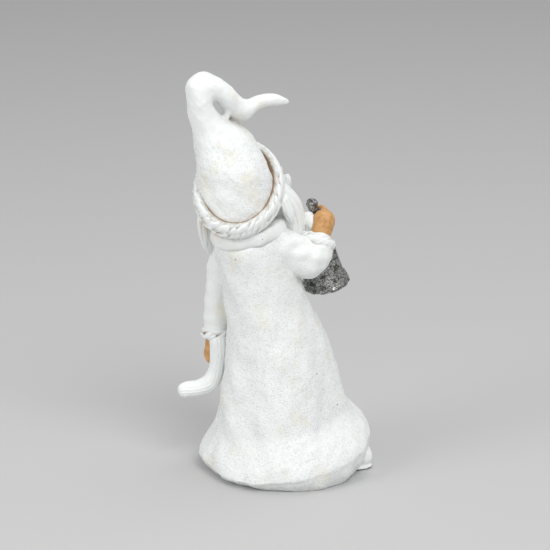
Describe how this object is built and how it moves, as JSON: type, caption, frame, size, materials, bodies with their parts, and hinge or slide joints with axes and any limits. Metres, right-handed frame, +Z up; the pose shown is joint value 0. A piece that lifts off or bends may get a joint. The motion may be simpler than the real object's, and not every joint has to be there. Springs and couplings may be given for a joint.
{
  "type": "garden gnome",
  "caption": "Standing cast-resin garden gnome in a flared coat and a folded pointed hat, holding up a hand bell and letting a stocking hang from the other hand.",
  "frame": {"origin": "on the ground, in the middle of the coat's foot", "axes": "+Z up, the figure faces -Y, its own left hand is on +X"},
  "size_m": [0.0623, 0.0627, 0.1462],
  "materials": {
    "snow_coat": "cool white paint with fine glitter grit",
    "white_cloth": "smooth matte white paint",
    "fur_trim": "white paint with a brown wash in the carved grooves",
    "hair": "white paint with a thin grey-brown wash",
    "skin": "matte tan paint",
    "silver": "dark base under crackled silver leaf paint",
    "knit": "white paint with a grey wash in the ribs",
    "boot": "white paint, worn to tan at the welt"
  },
  "bodies": {
    "root": {"coat": "snow_coat", "collar": "white_cloth", "head": "skin", "hat": "snow_coat", "hat_brim": "fur_trim", "nose": "skin", "beard": "hair", "moustache_right": "hair", "moustache_left": "hair", "hair_left": "hair", "hair_right": "hair", "right_sleeve": "white_cloth", "left_sleeve": "white_cloth", "right_cuff": "fur_trim", "left_cuff": "fur_trim", "right_hand": "skin", "left_hand": "skin", "bell_shell": "silver", "bell_handle": "silver", "bell_clapper": "silver", "stocking": "knit", "right_boot": "boot", "left_boot": "boot"}
  },
  "joints": []
}
